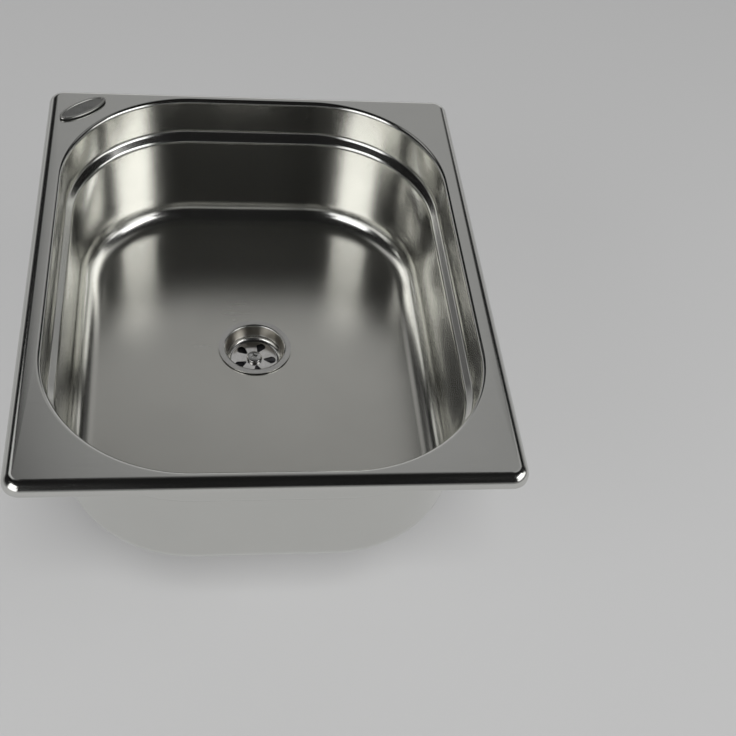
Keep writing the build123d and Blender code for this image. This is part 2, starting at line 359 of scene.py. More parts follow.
def makeScrew():
    s = screwShape
    low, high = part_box("drain_screw")
    seat = high.z - s["headHeight"]
    top = high.z - s["crown"]
    outline = roundedPath(
        [(s["shank"] - s["tipChamfer"], low.z), (s["shank"], low.z + s["tipChamfer"]), (s["shank"], seat),
         (s["head"], seat), (s["head"], top), (s["crownFlat"], high.z), (s["crownHole"], high.z)],
        [0, 0, s["seatRound"], s["headRound"], s["crownRound"]], 6)
    piece = startRing("drainScrew", outline[0][0], low.z, s["ringSteps"])
    drawRing(outline, drainPlace)
    bpy.ops.mesh.edge_face_add()
    pick("EDGE", lambda co: near(co.z, low.z))
    bpy.ops.mesh.edge_face_add()
    closeShell()
    for turn in (0, 90):
        clearPicks()
        bpy.ops.mesh.primitive_cube_add(size=1, location=(0, 0, 0))
        cutter = namePiece("crossCutter")
        bpy.ops.object.mode_set(mode="EDIT")
        bpy.ops.transform.resize(value=(s["crossLength"], s["crossWidth"], 2 * s["crossDepth"]),
                                 center_override=(0, 0, 0))
        pick("VERT", lambda co: co.z < 0)
        bpy.ops.transform.resize(value=s["crossTaper"], center_override=(0, 0, 0))
        bpy.ops.object.mode_set(mode="OBJECT")
        cutter.rotation_euler.z = math.radians(turn + s["crossTurn"])
        cutter.location = (drainPlace[0], drainPlace[1], high.z)
        bpy.ops.object.transform_apply(location=True, rotation=True, scale=True)
        cutWith(piece, cutter)
    useModifier(piece, "BEVEL", width=s["edge"], segments=2, limit_method="ANGLE",
                angle_limit=math.radians(45), use_clamp_overlap=True)
    smoothPiece(piece, 35)
    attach(piece, "drain_screw")
    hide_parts("drain_screw")
    print("strainer screw:", len(piece.data.polygons), "faces")
    return piece


# bare oval badge

badgeShape = {
    "length": 0.0350, "width": 0.0125, "tilt": 40.0, "steps": 128,
    "pad": 0.0008, "padInset": 0.00045, "round": 0.0005, "border": 0.0015, "borderHeight": 0.00035,
    "fieldSlope": 0.0002, "edge": 0.00010, "outerShare": 0.499, "fieldReach": 1.03, "fieldRise": 0.00005,
}


def makeBadge():
    s = badgeShape
    low, high = badgeLow, badgeHigh
    clearPicks()
    bpy.ops.mesh.primitive_circle_add(vertices=s["steps"], radius=0.5, fill_type="NGON", location=(0, 0, 0))
    piece = namePiece("rimBadge")
    bpy.ops.object.mode_set(mode="EDIT")
    bpy.ops.transform.resize(value=(s["length"], s["width"], 1), center_override=(0, 0, 0))
    bpy.ops.transform.translate(value=(0, 0, low.z + s["pad"]))
    bpy.ops.mesh.extrude_region_move(TRANSFORM_OT_translate={"value": (0, 0, high.z - low.z - s["pad"])})
    bpy.ops.mesh.inset(thickness=s["border"], depth=0, use_even_offset=True)
    bpy.ops.mesh.inset(thickness=s["fieldSlope"], depth=0, use_even_offset=True)
    bpy.ops.transform.translate(value=(0, 0, -s["borderHeight"]))
    # the pad under the plate is a little smaller; its black rubber darkens the badge's edge as painted shade
    pick("FACE", lambda co: near(co.z, low.z + s["pad"]))
    bpy.ops.mesh.inset(thickness=s["padInset"], depth=0, use_even_offset=True)
    bpy.ops.mesh.extrude_region_move(TRANSFORM_OT_translate={"value": (0, 0, -s["pad"])})
    pick("EDGE", lambda co: near(co.z, high.z)
         and math.hypot(co.x / s["length"], co.y / s["width"]) > s["outerShare"])
    bpy.ops.mesh.bevel(offset=s["round"], offset_type="OFFSET", segments=6, affect="EDGES")
    closeShell()
    piece.rotation_euler.z = math.radians(s["tilt"])
    piece.location = ((low.x + high.x) / 2, (low.y + high.y) / 2, 0)
    bpy.ops.object.transform_apply(location=True, rotation=True, scale=True)
    useModifier(piece, "BEVEL", width=s["edge"], segments=3, limit_method="ANGLE",
                angle_limit=math.radians(30), use_clamp_overlap=True)
    smoothPiece(piece, 35)
    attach(piece, "sink")
    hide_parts("badge")
    print("badge:", len(piece.data.polygons), "faces")
    return piece


# drain under the bowl

gasketShape = {"ringSteps": 96, "hole": 0.0202, "holeRound": 0.0003, "bulge": 0.0008}
bodyShape = {
    "ringSteps": 96, "hole": 0.0202, "flange": 0.0290, "flangeDepth": 0.0040, "flangeRound": 0.0010,
    "barrel": 0.0232, "barrelDepth": 0.0106, "funnel": 0.0055, "tail": 0.02095, "tailBore": 0.01745,
    "threadDepth": 0.00135, "threadPitch": 0.0254 / 11, "threadSteps": 72,
    "threadSink": 0.0006, "toothFoot": 0.86, "toothTip": 0.24, "threadTop": 0.0010,
    "runOut": (0.0004, 0.0006, 0.0014),
    "holeStart": 0.004, "holeRound": 0.0004, "flangeFoot": 0.0008, "barrelRound": 0.0015, "tailRound": 0.0003,
    "tailEnd": 0.0004, "boreRound": 0.001,
    "hub": 0.0075, "hubTop": 0.0080, "hubHeight": 0.0110, "hubStart": 0.001, "screwWay": 0.0033,
    "pocket": 0.01009, "pocketDepth": 0.0050,
    "spokeCount": 4, "spokeThickness": 0.0024, "spokeHeight": 0.0050, "spokeRoot": 0.00075,
    "spokeOverlap": 0.001,
}
nutShape = {
    "ringSteps": 96, "bore": 0.0212, "outside": 0.0252, "webHole": 0.0130, "web": 0.0035, "edge": 0.0010,
    "ribCount": 8, "ribHalf": 7.6, "ribHeight": 0.0020, "ribEdge": 0.0006,
    "boreFoot": 0.0003, "webRound": (0.0004, 0.0005), "mouthRound": 0.0006,
}
tailShape = {
    "ringSteps": 64, "collar": 0.02035, "collarDepth": 0.0030, "outside": 0.0125, "bore": 0.0095,
    "boreStart": 0.001, "collarRounds": (0.0005, 0.0004, 0.0004, 0.0003),
    "bend": 0.0200, "bendSteps": 16, "spigot": 0.0340, "nose": 0.0020,
    "barbCount": 3, "barbPitch": 0.0075, "barbRise": 0.0007, "barbLand": 0.0012, "barbSlope": 0.0050,
    "barbRounds": (0.0001, 0.0002, 0.0003, 0.0003), "endRounds": (0.0008, 0.0006),
}


def makeGasket():
    s = gasketShape
    low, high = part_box("body_gasket")
    outside = (high.x - low.x) / 2
    middle = (low.z + high.z) / 2
    outline = roundedPath(
        [(s["hole"], middle), (s["hole"], high.z), (outside, high.z), (outside, low.z), (s["hole"], low.z),
         (s["hole"], middle)],
        [s["holeRound"], s["bulge"], s["bulge"], s["holeRound"]], 5)
    piece = startRing("bodyGasket", outline[0][0], middle, s["ringSteps"])
    drawRing(outline, drainPlace)
    closeShell()
    smoothPiece(piece, 40)
    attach(piece, "sink")
    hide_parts("body_gasket")
    return piece


def makeThread(name, root, crest, pitch, low, high, steps):
    # one tooth's outline, wound up the tail by a Screw modifier
    s = bodyShape
    clearPicks()
    bpy.ops.mesh.primitive_plane_add(size=1, location=(0, 0, 0))
    piece = namePiece(name)
    bpy.ops.object.mode_set(mode="EDIT")
    bpy.ops.transform.resize(value=(crest - root + s["threadSink"], pitch * s["toothFoot"], 1),
                             center_override=(0, 0, 0))
    bpy.ops.transform.translate(value=((crest + root - s["threadSink"]) / 2, 0, 0))
    pick("VERT", lambda co: co.x > root)
    bpy.ops.transform.resize(value=(1, s["toothTip"], 1), center_override=(0, 0, 0))
    bpy.ops.mesh.select_all(action="SELECT")
    bpy.ops.mesh.delete(type="ONLY_FACE")
    bpy.ops.mesh.select_all(action="SELECT")
    bpy.ops.transform.rotate(value=-math.pi / 2, orient_axis="X", center_override=(0, 0, 0))
    bpy.ops.object.mode_set(mode="OBJECT")
    turns = int((high - low) / pitch)
    useModifier(piece, "SCREW", angle=2 * math.pi, screw_offset=pitch, iterations=turns, steps=steps,
                render_steps=steps, use_merge_vertices=False, use_normal_calculate=True)
    bpy.ops.object.mode_set(mode="EDIT")
    bpy.ops.mesh.select_mode(type="EDGE")
    bpy.ops.mesh.select_all(action="DESELECT")
    bpy.ops.mesh.select_non_manifold(extend=False)
    bpy.ops.mesh.edge_face_add()
    bpy.ops.mesh.select_all(action="SELECT")
    bpy.ops.transform.translate(value=(drainPlace[0], drainPlace[1], low + pitch / 2))
    closeShell()
    return piece


def makeBody():
    s = bodyShape
    low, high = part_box("drain_body")
    barrelEnd = high.z - s["barrelDepth"]
    funnelEnd = barrelEnd - s["funnel"]
    root = s["tail"] - s["threadDepth"]
    start = high.z - s["holeStart"]
    flangeLow = high.z - s["flangeDepth"]
    above, below, rootFrom = s["runOut"]
    outline = roundedPath(
        [(s["hole"], start), (s["hole"], high.z), (s["flange"], high.z), (s["flange"], flangeLow),
         (s["barrel"], flangeLow), (s["barrel"], barrelEnd), (s["tail"], funnelEnd + above),
         (s["tail"], funnelEnd - below), (root, funnelEnd - rootFrom), (root, low.z), (s["tailBore"], low.z),
         (s["tailBore"], funnelEnd), (s["hole"], barrelEnd), (s["hole"], start)],
        [s["holeRound"], s["flangeRound"], s["flangeRound"], s["flangeFoot"], s["barrelRound"],
         *[s["tailRound"]] * 3, *[s["tailEnd"]] * 2, *[s["boreRound"]] * 2], 4)
    piece = startRing("drainBody", outline[0][0], start, s["ringSteps"])
    drawRing(outline, drainPlace)
    closeShell()
    # hub and spokes inside
    hubTop = high.z - s["hubTop"]
    hubLow = hubTop - s["hubHeight"]
    hubStart = hubLow + s["hubStart"]
    hubOutline = [(s["screwWay"], hubStart), (s["screwWay"], hubTop), (s["hub"], hubTop), (s["hub"], hubLow),
                  (s["screwWay"], hubLow), (s["screwWay"], hubStart)]
    hub = startRing("hub", s["screwWay"], hubStart, s["ringSteps"])
    drawRing(hubOutline, drainPlace)
    closeShell()
    for turn in range(s["spokeCount"]):
        clearPicks()
        bpy.ops.mesh.primitive_cube_add(size=1, location=(0, 0, 0))
        spoke = namePiece("spoke")
        bpy.ops.object.mode_set(mode="EDIT")
        reach = s["hole"] + s["spokeRoot"] - s["hub"] + s["spokeOverlap"]
        bpy.ops.transform.resize(value=(reach, s["spokeThickness"], s["spokeHeight"]),
                                 center_override=(0, 0, 0))
        middle = s["hub"] - s["spokeOverlap"] + reach / 2
        bpy.ops.transform.translate(value=(middle, 0, hubTop - s["spokeHeight"] / 2))
        bpy.ops.object.mode_set(mode="OBJECT")
        spoke.rotation_euler.z = turn * 2 * math.pi / s["spokeCount"]
        spoke.location = drainPlace
        bpy.ops.object.transform_apply(location=True, rotation=True, scale=True)
        cutWith(hub, spoke, "UNION")
    clearPicks()
    bpy.ops.mesh.primitive_cylinder_add(vertices=6, radius=s["pocket"] / 2 / math.cos(math.pi / 6),
                                        depth=2 * s["pocketDepth"],
                                        location=(drainPlace[0], drainPlace[1], hubLow))
    pocket = namePiece("pocket")
    pocket.rotation_euler.z = math.radians(30)
    bpy.ops.object.transform_apply(location=True, rotation=True, scale=True)
    cutWith(hub, pocket)
    cutWith(piece, hub, "UNION")
    thread = makeThread("thread", root, s["tail"], s["threadPitch"], low.z, funnelEnd - s["threadTop"],
                        s["threadSteps"])
    cutWith(piece, thread, "UNION")
    smoothPiece(piece, 35)
    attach(piece, "sink")
    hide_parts("drain_body")
    print("drain body:", len(piece.data.polygons), "faces")
    return piece


def makeNut():
    s = nutShape
    low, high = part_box("union_nut")
    webTop = low.z + s["web"]
    middle = (webTop + high.z) / 2
    outline = roundedPath(
        [(s["bore"], middle), (s["bore"], webTop), (s["webHole"], webTop), (s["webHole"], low.z),
         (s["outside"], low.z), (s["outside"], low.z + s["edge"]), (s["outside"], high.z - s["edge"]),
         (s["outside"], high.z), (s["bore"], high.z), (s["bore"], middle)],
        [s["boreFoot"], *s["webRound"], s["edge"], 0, 0, s["edge"], s["mouthRound"]], 4)
    piece = startRing("unionNut", outline[0][0], outline[0][1], s["ringSteps"])
    drawRing(outline, drainPlace)
    closeShell()

    def onRib(co):
        turn = math.degrees(math.atan2(co.y - drainPlace[1], co.x - drainPlace[0]))
        off = (turn + 180 / s["ribCount"]) % (360 / s["ribCount"]) - 180 / s["ribCount"]
        return abs(off) < s["ribHalf"] and near(drainRadius(co), s["outside"])

    bpy.ops.object.mode_set(mode="EDIT")
    pick("FACE", onRib)
    bpy.ops.mesh.extrude_region_shrink_fatten(TRANSFORM_OT_shrink_fatten={"value": s["ribHeight"]})
    bpy.ops.object.mode_set(mode="OBJECT")
    useModifier(piece, "BEVEL", width=s["ribEdge"], segments=3, limit_method="ANGLE",
                angle_limit=math.radians(50), use_clamp_overlap=True)
    smoothPiece(piece, 40)
    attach(piece, "union_nut")
    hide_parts("union_nut")
    print("union nut:", len(piece.data.polygons), "faces")
    return piece


def makeTail():
    s = tailShape
    low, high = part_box("hose_tail")
    collarLow = high.z - s["collarDepth"]
    outletZ = low.z + s["outside"] + s["barbRise"]
    bendTop = outletZ + s["bend"]
    spigotY = drainPlace[1] + s["bend"]
    bendCentre = (drainPlace[0], spigotY, bendTop)
    spigotCentre = (drainPlace[0], spigotY, outletZ)
    start = high.z - s["boreStart"]
    down = roundedPath(
        [(s["bore"], start), (s["bore"], high.z), (s["collar"], high.z), (s["collar"], collarLow),
         (s["outside"], collarLow), (s["outside"], bendTop)],
        s["collarRounds"], 4)
    piece = startRing("hoseTail", down[0][0], down[0][1], s["ringSteps"])
    drawRing(down, drainPlace)
    bpy.ops.mesh.spin(steps=s["bendSteps"], angle=-math.pi / 2, center=bendCentre, axis=(1, 0, 0))
    barbs = []
    for barb in reversed(range(s["barbCount"])):
        tip = spigotY + s["spigot"] - s["nose"] - barb * s["barbPitch"]
        crest = s["outside"] + s["barbRise"]
        step = tip - s["barbSlope"] - s["barbLand"]
        barbs += [(s["outside"], step), (crest, step), (crest, step + s["barbLand"]), (s["outside"], tip)]
    end = spigotY + s["spigot"]
    out = roundedPath(
        [(s["outside"], spigotY)] + barbs + [(s["outside"], end), (s["bore"], end), (s["bore"], spigotY)],
        s["barbRounds"] * s["barbCount"] + s["endRounds"], 4)
    drawRing(out, spigotCentre, "Y")
    bpy.ops.mesh.spin(steps=s["bendSteps"], angle=math.pi / 2, center=bendCentre, axis=(1, 0, 0))
    drawRing([(s["bore"], bendTop), (s["bore"], start)], drainPlace)
    closeShell()
    smoothPiece(piece, 40)
    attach(piece, "outlet")
    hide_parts("hose_tail")
    print("hose tail:", len(piece.data.polygons), "faces")
    return piece


# finishes

def addNode(tree, kind, place, **values):
    node = tree.nodes.new(kind)
    node.location = place
    for key, value in values.items():
        setattr(node, key, value)
    return node


def newGroup(name, inputs, outputs):
    group = bpy.data.node_groups.new(name, "ShaderNodeTree")
    for socket, kind, value in inputs:
        made = group.interface.new_socket(socket, in_out="INPUT", socket_type=kind)
        if value is not None:
            made.default_value = value
    for socket, kind in outputs:
        group.interface.new_socket(socket, in_out="OUTPUT", socket_type=kind)
    start = addNode(group, "NodeGroupInput", (-900, 0))
    end = addNode(group, "NodeGroupOutput", (700, 0))
    return group, start, end


def makeGrainGroup():
    # fine lines left by rolling and brushing, drawn out along one direction
    group, start, end = newGroup(
        "brushGrain",
        [("Vector", "NodeSocketVector", None), ("Stretch", "NodeSocketVector", (1, 1, 1)),
         ("Scale", "NodeSocketFloat", 100)],
        [("Lines", "NodeSocketFloat"), ("Height", "NodeSocketFloat")])
    stretch = addNode(group, "ShaderNodeVectorMath", (-700, 0), operation="MULTIPLY")
    group.links.new(start.outputs["Vector"], stretch.inputs[0])
    group.links.new(start.outputs["Stretch"], stretch.inputs[1])
    lines = addNode(group, "ShaderNodeTexNoise", (-480, 120))
    lines.inputs["Detail"].default_value = 5
    lines.inputs["Roughness"].default_value = 0.6
    group.links.new(stretch.outputs[0], lines.inputs["Vector"])
    group.links.new(start.outputs["Scale"], lines.inputs["Scale"])
    spread = addNode(group, "ShaderNodeMapRange", (-220, 120))
    spread.inputs["From Min"].default_value = 0.3
    spread.inputs["From Max"].default_value = 0.7
    group.links.new(lines.outputs[0], spread.inputs["Value"])
    group.links.new(spread.outputs[0], end.inputs["Lines"])
    group.links.new(lines.outputs[0], end.inputs["Height"])
    return group


def makeMarksGroup():
    # cloudy handling marks and water haze
    group, start, end = newGroup(
        "handlingMarks",
        [("Vector", "NodeSocketVector", None), ("Scale", "NodeSocketFloat", 12)],
        [("Marks", "NodeSocketFloat")])
    cloud = addNode(group, "ShaderNodeTexNoise", (-480, 120))
    cloud.inputs["Detail"].default_value = 4
    cloud.inputs["Roughness"].default_value = 0.55
    cloud.inputs["Distortion"].default_value = 0.6
    group.links.new(start.outputs["Vector"], cloud.inputs["Vector"])
    group.links.new(start.outputs["Scale"], cloud.inputs["Scale"])
    spread = addNode(group, "ShaderNodeMapRange", (-220, 120), interpolation_type="SMOOTHSTEP")
    spread.inputs["From Min"].default_value = 0.35
    spread.inputs["From Max"].default_value = 0.7
    group.links.new(cloud.outputs[0], spread.inputs["Value"])
    group.links.new(spread.outputs[0], end.inputs["Marks"])
    return group


def makeMouldGroup():
    # the fine eroded grain that a mould leaves on plastic and rubber
    group, start, end = newGroup(
        "mouldGrain",
        [("Vector", "NodeSocketVector", None), ("Scale", "NodeSocketFloat", 900)],
        [("Grain", "NodeSocketFloat"), ("Height", "NodeSocketFloat")])
    cells = addNode(group, "ShaderNodeTexVoronoi", (-480, 150), feature="SMOOTH_F1")
    group.links.new(start.outputs["Vector"], cells.inputs["Vector"])
    group.links.new(start.outputs["Scale"], cells.inputs["Scale"])
    speck = addNode(group, "ShaderNodeTexNoise", (-480, -150))
    speck.inputs["Detail"].default_value = 3
    group.links.new(start.outputs["Vector"], speck.inputs["Vector"])
    group.links.new(start.outputs["Scale"], speck.inputs["Scale"])
    both = addNode(group, "ShaderNodeMath", (-200, 0), operation="MULTIPLY")
    group.links.new(cells.outputs["Distance"], both.inputs[0])
    group.links.new(speck.outputs[0], both.inputs[1])
    group.links.new(speck.outputs[0], end.inputs["Grain"])
    group.links.new(both.outputs[0], end.inputs["Height"])
    return group


def newFinish(name):
    finish = bpy.data.materials.new(name)
    finish.use_nodes = True
    tree = finish.node_tree
    shader = tree.nodes["Principled BSDF"]
    place = addNode(tree, "ShaderNodeTexCoord", (-1100, 0))
    return finish, tree, shader, place.outputs["Object"]


def placeGroup(tree, group, place, vector, **values):
    node = addNode(tree, "ShaderNodeGroup", place, node_tree=group)
    tree.links.new(vector, node.inputs["Vector"])
    for key, value in values.items():
        node.inputs[key].default_value = value
    return node


def spreadTo(tree, value, low, high, place):
    node = addNode(tree, "ShaderNodeMapRange", place)
    node.inputs["To Min"].default_value = low
    node.inputs["To Max"].default_value = high
    tree.links.new(value, node.inputs["Value"])
    return node.outputs[0]


def mixColours(tree, value, first, second, place):
    node = addNode(tree, "ShaderNodeMix", place, data_type="RGBA")
    node.inputs["A"].default_value = (*first, 1)
    node.inputs["B"].default_value = (*second, 1)
    tree.links.new(value, node.inputs["Factor"])
    return node.outputs["Result"]


def addBump(tree, shader, height, strength, distance, place):
    node = addNode(tree, "ShaderNodeBump", place)
    node.inputs["Strength"].default_value = strength
    node.inputs["Distance"].default_value = distance
    tree.links.new(height, node.inputs["Height"])
    tree.links.new(node.outputs["Normal"], shader.inputs["Normal"])


steelFinish = {
    "satin": {"pale": (0.66, 0.66, 0.635), "dull": (0.64, 0.64, 0.615), "rough": (0.155, 0.185),
              "stretch": (0.05, 1.0, 1.0),
              "scale": 900, "marks": 14, "bump": 0.003,
              # the base floor's tint brightens it as painted light; its extra roughness is wear
              "wear": {"full": baseTop, "none": baseTop + 0.005, "rough": 0.09, "paintedLightTint": (1.13, 1.12, 1.09)}},
    # the plate is a paler copy of the cup's steel: painted sheen, so the plate looks brighter lit
    "plate": {"pale": (0.86, 0.85, 0.83), "dull": (0.72, 0.71, 0.69), "rough": (0.13, 0.20),
              "stretch": (1.0, 1.0, 1.0),
              "scale": 700, "marks": 160, "bump": 0.05},
    "polished": {"pale": (0.68, 0.675, 0.655), "dull": (0.62, 0.615, 0.595), "rough": (0.22, 0.28),
                 "stretch": (1.0, 1.0, 1.0),
                 "scale": 700, "marks": 60, "bump": 0.02,
                 # the cup's wall above the plate is tinted darker as painted shade in the hollow; its extra
                 # roughness is wear
                 "wear": {"full": cupLow.z + 0.0055, "none": cupLow.z + 0.0028, "rough": 0.14,
                          "paintedLightTint": (0.72, 0.69, 0.64),
                          "topFull": cupHigh.z - 0.0016, "topNone": cupHigh.z - 0.0004}},
    "screw": {"pale": (0.70, 0.70, 0.69), "dull": (0.62, 0.62, 0.61), "rough": (0.14, 0.24),
              "stretch": (1.0, 1.0, 0.2),
              "scale": 1500, "marks": 200, "bump": 0.03},
    "badge": {"pale": (0.52, 0.52, 0.50), "dull": (0.44, 0.44, 0.42), "rough": (0.26, 0.36),
              "stretch": (1.0, 0.05, 1.0),
              "scale": 1600, "marks": 80, "bump": 0.04},
    "badgeField": {"pale": (0.36, 0.36, 0.35), "dull": (0.27, 0.27, 0.26), "rough": (0.30, 0.44),
                   "stretch": (1.0, 0.05, 1.0),
                   "scale": 1600, "marks": 120, "bump": 0.06},
}
brassFinish = {"pale": (0.74, 0.57, 0.27), "dull": (0.60, 0.42, 0.18), "rough": (0.22, 0.36),
               "stretch": (1, 1, 0.1), "scale": 1200, "marks": 120, "bump": 0.05}
surfaceMix = {"lines": 0.4, "marks": 0.6, "mouldMarks": 45, "bumpDepth": 0.0002}
mouldedFinish = {
    "drainPlastic": {"pale": (0.040, 0.040, 0.043), "dull": (0.022, 0.022, 0.024), "rough": (0.36, 0.52),
                     "scale": 1400, "bump": 0.12},
    "gasketRubber": {"pale": (0.034, 0.034, 0.034), "dull": (0.018, 0.018, 0.018), "rough": (0.62, 0.78),
                     "scale": 1800, "bump": 0.20},
    "ringPlastic": {"pale": (0.80, 0.80, 0.78), "dull": (0.72, 0.72, 0.70), "rough": (0.30, 0.42),
                    "scale": 1600, "bump": 0.05},
}


def makeSteel(name, grainGroup, marksGroup):
    s = steelFinish[name]
    finish, tree, shader, place = newFinish(name + "Steel")
    shader.inputs["Metallic"].default_value = 1
    grain = placeGroup(tree, grainGroup, (-850, 150), place, Stretch=s["stretch"], Scale=s["scale"])
    marks = placeGroup(tree, marksGroup, (-850, -150), place, Scale=s["marks"])
    both = addNode(tree, "ShaderNodeMath", (-600, 0), operation="MULTIPLY_ADD")
    both.inputs[1].default_value = surfaceMix["lines"]
    tree.links.new(grain.outputs["Lines"], both.inputs[0])
    half = addNode(tree, "ShaderNodeMath", (-720, -150), operation="MULTIPLY")
    half.inputs[1].default_value = surfaceMix["marks"]
    tree.links.new(marks.outputs["Marks"], half.inputs[0])
    tree.links.new(half.outputs[0], both.inputs[2])
    colour = mixColours(tree, both.outputs[0], s["pale"], s["dull"], (-300, 250))
    rough = spreadTo(tree, both.outputs[0], *s["rough"], (-300, 0))
    if "wear" in s:
        # part of the height is made rougher, as water and scrubbing leave it, and its colour is tinted there:
        # painted light brightens the satin base and painted shade darkens the cup's wall
        split = addNode(tree, "ShaderNodeSeparateXYZ", (-850, -400))
        tree.links.new(place, split.inputs[0])
        wornAndPaintedLight = addNode(tree, "ShaderNodeMapRange", (-600, -400), interpolation_type="SMOOTHSTEP")
        wornAndPaintedLight.inputs["From Min"].default_value = s["wear"]["none"]
        wornAndPaintedLight.inputs["From Max"].default_value = s["wear"]["full"]
        tree.links.new(split.outputs["Z"], wornAndPaintedLight.inputs["Value"])
        if "topNone" in s["wear"]:
            top = addNode(tree, "ShaderNodeMapRange", (-600, -650), interpolation_type="SMOOTHSTEP")
            top.inputs["From Min"].default_value = s["wear"]["topNone"]
            top.inputs["From Max"].default_value = s["wear"]["topFull"]
            tree.links.new(split.outputs["Z"], top.inputs["Value"])
            tree.links.new(top.outputs[0], wornAndPaintedLight.inputs["To Max"])
        rougher = addNode(tree, "ShaderNodeMath", (-100, -100), operation="MULTIPLY_ADD")
        rougher.inputs[1].default_value = s["wear"]["rough"]
        tree.links.new(wornAndPaintedLight.outputs[0], rougher.inputs[0])
        tree.links.new(rough, rougher.inputs[2])
        rough = rougher.outputs[0]
        # this tint is painted light: it brightens the satin base and darkens the cup's wall as painted shade
        paintedLightTint = mixColours(tree, wornAndPaintedLight.outputs[0], (1, 1, 1), s["wear"]["paintedLightTint"], (-300, 450))
        paintedLightColour = addNode(tree, "ShaderNodeMix", (-80, 350), data_type="RGBA", blend_type="MULTIPLY")
        paintedLightColour.inputs["Factor"].default_value = 1
        tree.links.new(colour, paintedLightColour.inputs["A"])
        tree.links.new(paintedLightTint, paintedLightColour.inputs["B"])
        colour = paintedLightColour.outputs["Result"]
    tree.links.new(colour, shader.inputs["Base Color"])
    tree.links.new(rough, shader.inputs["Roughness"])
    addBump(tree, shader, grain.outputs["Height"], s["bump"], surfaceMix["bumpDepth"], (-300, -250))
    return finish


def makeMoulded(name, mouldGroup, marksGroup):
    s = mouldedFinish[name]
    finish, tree, shader, place = newFinish(name)
    grain = placeGroup(tree, mouldGroup, (-850, 150), place, Scale=s["scale"])
    marks = placeGroup(tree, marksGroup, (-850, -150), place, Scale=surfaceMix["mouldMarks"])
    colour = mixColours(tree, marks.outputs["Marks"], s["pale"], s["dull"], (-300, 250))
    tree.links.new(colour, shader.inputs["Base Color"])
    tree.links.new(spreadTo(tree, grain.outputs["Grain"], *s["rough"], (-300, 0)), shader.inputs["Roughness"])
    addBump(tree, shader, grain.outputs["Height"], s["bump"], surfaceMix["bumpDepth"], (-300, -250))
    return finish


def makeBrass(grainGroup, marksGroup):
    s = brassFinish
    finish, tree, shader, place = newFinish("insertBrass")
    shader.inputs["Metallic"].default_value = 1
    grain = placeGroup(tree, grainGroup, (-850, 150), place, Stretch=s["stretch"], Scale=s["scale"])
    marks = placeGroup(tree, marksGroup, (-850, -150), place, Scale=s["marks"])
    colour = mixColours(tree, marks.outputs["Marks"], s["pale"], s["dull"], (-300, 250))
    tree.links.new(colour, shader.inputs["Base Color"])
    tree.links.new(spreadTo(tree, grain.outputs["Lines"], *s["rough"], (-300, 0)), shader.inputs["Roughness"])
    addBump(tree, shader, grain.outputs["Height"], s["bump"], surfaceMix["bumpDepth"], (-300, -250))
    return finish


def wear(piece, finish):
    piece.data.materials.clear()
    piece.data.materials.append(finish)


def wearPart(piece, finish, test):
    # another finish on the faces whose corners all pass the test
    mesh = piece.data
    mesh.materials.append(finish)
    for face in mesh.polygons:
        if all(test(mesh.vertices[i].co) for i in face.vertices):
            face.material_index = len(mesh.materials) - 1


def onPlate(co):
    return co.z < cupLow.z + cupShape["sheet"] + cupShape["plateReach"]


def onBadgePad(co):
    return co.z < badgeLow.z + badgeShape["pad"] + samePlace


def onBadgeField(co):
    s = badgeShape
    across = Matrix.Rotation(math.radians(-s["tilt"]), 2) @ (co - (badgeLow + badgeHigh) / 2).to_2d()
    inset = s["border"] + s["fieldSlope"]
    reach = math.hypot(across.x / (s["length"] / 2 - inset), across.y / (s["width"] / 2 - inset))
    fieldTop = badgeHigh.z - s["borderHeight"] + s["fieldRise"]
    return reach < s["fieldReach"] and badgeLow.z + s["pad"] < co.z < fieldTop


# stage, lights and camera

stageSetup = {"floorSize": 8.0, "floorColour": (0.36, 0.36, 0.36), "floorGlow": 0.16,
              "drop": 0.0110}  # room for the elbow when the nut is slack
backdropSetup = {"lowTone": 0.36, "lowTop": (11, 20), "lowSpread": (73, 41), "lowTurn": -6,
                 "midTone": 0.46, "midTop": (50, 72), "midSpread": (25, 14), "midTurn": 7, "room": 0.012,
                 "horizonTone": 0.30, "horizonTop": (6, 14)}
lightSetup = {
    "leftSoftboxTop": {"azimuth": -49, "height": 37.5, "away": 1.5, "size": (0.87, 0.42),
                       "strength": 2.6, "mirrored": True},
    "leftSoftbox": {"azimuth": -44, "height": 15, "away": 1.5, "size": (1.18, 0.75),
                    "strength": 1.65, "mirrored": True},
    "rightSoftboxTop": {"azimuth": 65, "height": 37.5, "away": 1.5, "size": (0.90, 0.42),
                        "strength": 2.9, "mirrored": True},
    "rightSoftbox": {"azimuth": 67, "height": 20, "away": 1.5, "size": (1.50, 0.48),
                     "strength": 1.65, "mirrored": True},
    "leftStrip": {"azimuth": -133, "height": 50, "away": 1.5, "size": (0.34, 0.62),
                  "strength": 0.7, "mirrored": True},
    "rightStrip": {"azimuth": 131, "height": 50, "away": 1.5, "size": (0.30, 0.62),
                   "strength": 0.45, "mirrored": True},
    "frontKey": {"azimuth": 0, "height": 59, "away": 6.0, "size": (1.9, 1.9),
                 "strength": 22, "mirrored": False},
}
cameraSetup = {"place": (-0.03834, -0.51270, 0.48580), "yaw": -12.24, "pitch": 47.59, "roll": 8.93,
               "lens": 58.418, "sensor": 36, "near": 0.01}


def onDome(azimuth, height, away):
    # azimuth 0 is on the camera's side and grows to the right
    a, h = math.radians(azimuth), math.radians(height)
    return Vector((math.sin(a) * math.cos(h), -math.cos(a) * math.cos(h), math.sin(h))) * away


def aimAt(thing, place, target=(0, 0, -0.05)):
    thing.location = place
    thing.rotation_euler = (Vector(target) - place).to_track_quat("-Z", "Y").to_euler()


